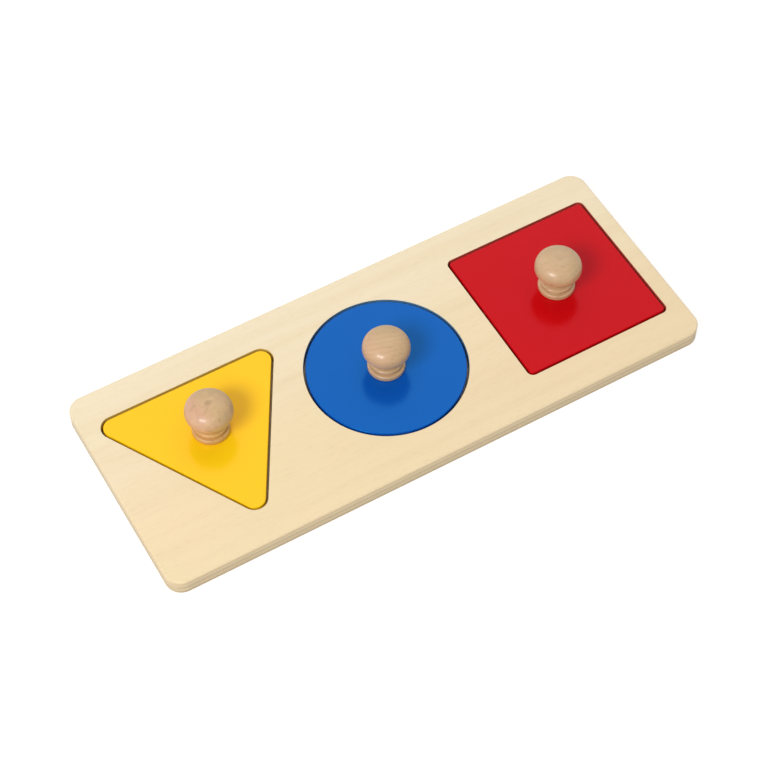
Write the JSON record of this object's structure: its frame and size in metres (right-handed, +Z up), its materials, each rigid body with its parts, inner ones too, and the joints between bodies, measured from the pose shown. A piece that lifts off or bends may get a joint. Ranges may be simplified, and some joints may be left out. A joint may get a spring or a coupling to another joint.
{
  "type": "shape puzzle",
  "caption": "Knobbed wooden shape puzzle: a flat board whose triangle, disc and square lift out by turned wooden knobs, for a toddler's first sorting and grasping.",
  "frame": {"origin": "middle of the board's flat underside, where it rests on the table", "axes": "+X along the board's long side from the triangle to the square, +Y to the back edge, away from the triangle's low corner, +Z up through the knobs"},
  "size_m": [0.2984, 0.1188, 0.0333],
  "materials": {
    "birch_ply": "pale sanded birch plywood under clear matt lacquer",
    "knob_wood": "turned beech, satin",
    "yellow_paint": "wood under glossy yellow paint",
    "blue_paint": "wood under glossy blue paint",
    "red_paint": "wood under glossy red paint",
    "screw_steel": "zinc-plated steel"
  },
  "bodies": {
    "board": {"frame_board": "birch_ply", "backing_board": "birch_ply"},
    "triangle": {"triangle_insert": "yellow_paint", "triangle_knob": "knob_wood", "triangle_screw": "screw_steel"},
    "disc_lifter": {"circle_screw": "screw_steel"},
    "disc": {"circle_insert": "blue_paint", "circle_knob": "knob_wood"},
    "square": {"square_insert": "red_paint", "square_knob": "knob_wood", "square_screw": "screw_steel"}
  },
  "joints": [
    {"name": "triangle_lift", "type": "slide", "parent": "board", "child": "triangle", "axis": [0, 0, 1], "range_m": [0, 0.04]},
    {"name": "circle_lift", "type": "slide", "parent": "board", "child": "disc_lifter", "axis": [0, 0, 1], "range_m": [0, 0.04]},
    {"name": "circle_spin", "type": "hinge", "parent": "disc_lifter", "child": "disc", "pos_m": [-0.00085, 0, 0.0098], "axis": [0, 0, 1], "continuous": true},
    {"name": "square_lift", "type": "slide", "parent": "board", "child": "square", "axis": [0, 0, 1], "range_m": [0, 0.04]}
  ]
}
